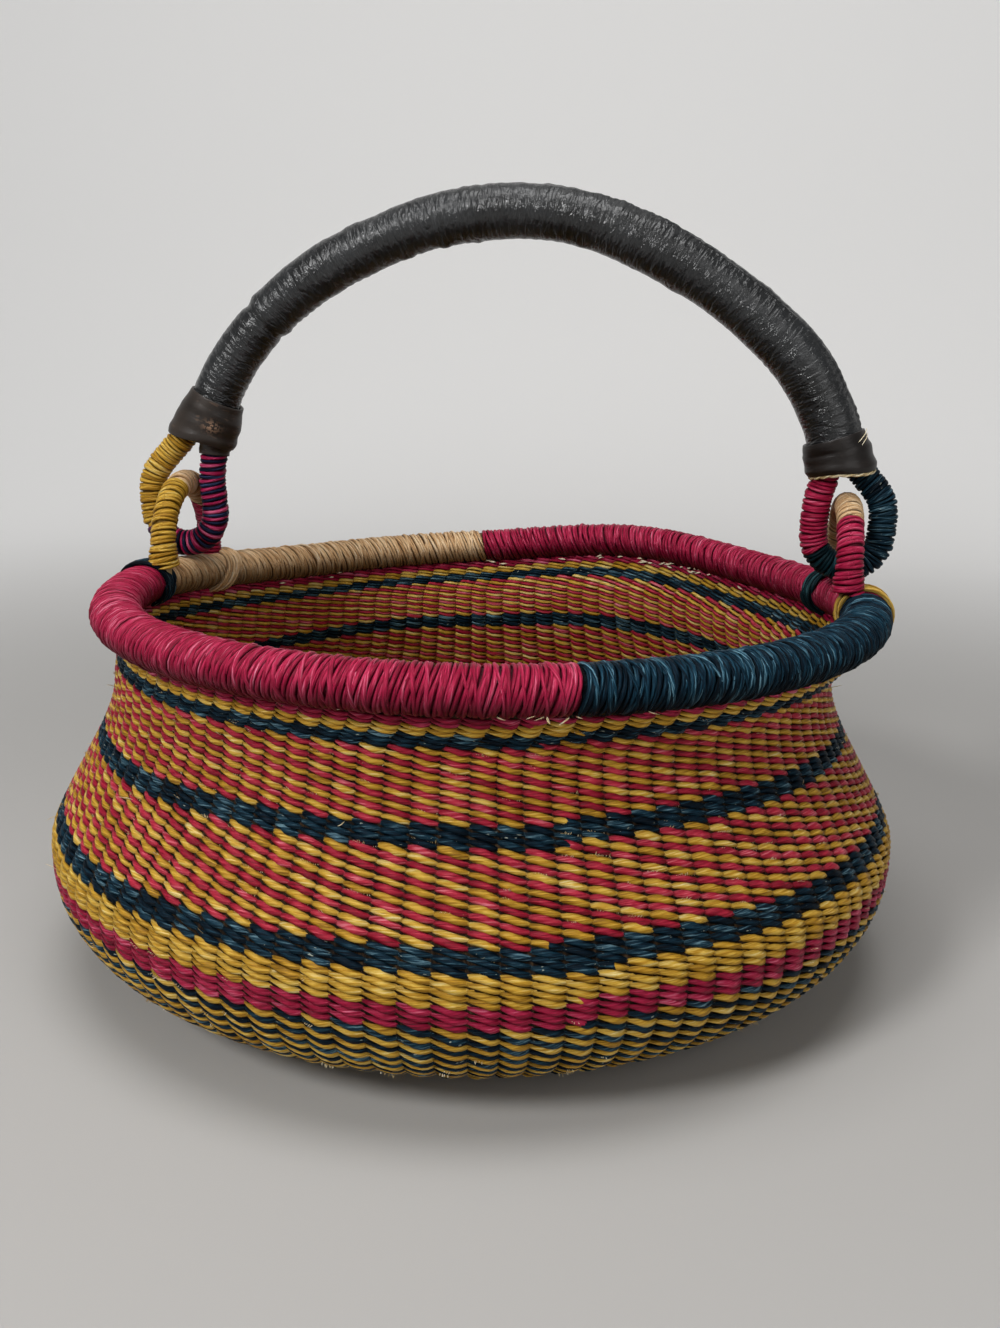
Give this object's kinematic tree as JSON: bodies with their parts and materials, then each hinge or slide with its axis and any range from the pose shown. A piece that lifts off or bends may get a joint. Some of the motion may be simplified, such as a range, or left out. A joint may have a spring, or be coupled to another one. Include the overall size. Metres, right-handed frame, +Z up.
{
  "type": "bolga basket",
  "caption": "Round twined grass basket with a wide belly, whipped rim, linked grass rings and a leather-bound bail handle that swings.",
  "frame": {"origin": "middle of the woven body, on the surface it stands on", "axes": "+Z up, +X along the handle towards its teal and magenta eye, -Y towards the side where the magenta rim whipping meets the teal one"},
  "size_m": [0.4, 0.4, 0.3578],
  "materials": {
    "magenta_straw": "twisted grass straw, dyed",
    "teal_straw": "twisted grass straw, dyed",
    "tan_straw": "twisted grass straw, dyed",
    "yellow_straw": "twisted grass straw, dyed",
    "red_straw": "twisted grass straw, dyed",
    "natural_straw": "twisted grass straw, dyed",
    "dark_teal_straw": "twisted grass straw, dyed",
    "purple_straw": "twisted grass straw, dyed",
    "candy_straw": "twisted grass straw, dyed",
    "black_leather": "thin goatskin, glossy, finely wrinkled",
    "brown_leather": "goatskin, worn, matt"
  },
  "bodies": {
    "basket": {"base_start": "yellow_straw", "base_floor": "teal_straw", "base_turn": "teal_straw", "base_flank": "teal_straw", "magenta_low_band": "magenta_straw", "yellow_low_band": "yellow_straw", "teal_low_band": "teal_straw", "striped_low_band": "red_straw", "teal_mid_band": "teal_straw", "striped_high_band": "red_straw", "teal_high_band": "teal_straw", "yellow_high_band": "yellow_straw", "magenta_high_band": "magenta_straw", "rim_core": "natural_straw", "rim_magenta_back_wrap": "magenta_straw", "rim_tan_back_wrap": "tan_straw", "rim_magenta_front_wrap": "magenta_straw", "rim_teal_front_wrap": "teal_straw", "left_ring_core": "natural_straw", "left_ring_yellow_wrap": "yellow_straw", "left_ring_tan_wrap": "tan_straw", "left_ring_magenta_wrap": "magenta_straw", "right_ring_core": "natural_straw", "right_ring_magenta_wrap": "magenta_straw", "right_ring_tan_wrap": "tan_straw", "left_front_lashing": "teal_straw", "left_rear_lashing": "tan_straw", "right_front_lashing": "yellow_straw", "right_rear_lashing": "dark_teal_straw"},
    "handle": {"handle_core": "natural_straw", "leather_sleeve": "black_leather", "left_cuff": "brown_leather", "right_cuff": "black_leather", "left_eye_core": "natural_straw", "left_eye_yellow_wrap": "yellow_straw", "left_eye_purple_wrap": "purple_straw", "left_eye_candy_wrap": "candy_straw", "right_eye_core": "natural_straw", "right_eye_teal_wrap": "teal_straw", "right_eye_dark_teal_wrap": "dark_teal_straw", "right_eye_magenta_wrap": "magenta_straw"}
  },
  "joints": [
    {"name": "handle_swing", "type": "hinge", "parent": "basket", "child": "handle", "pos_m": [0.008, 0.03, 0.18314], "axis": [1, 0, 0], "range_deg": [-75, 75]}
  ]
}
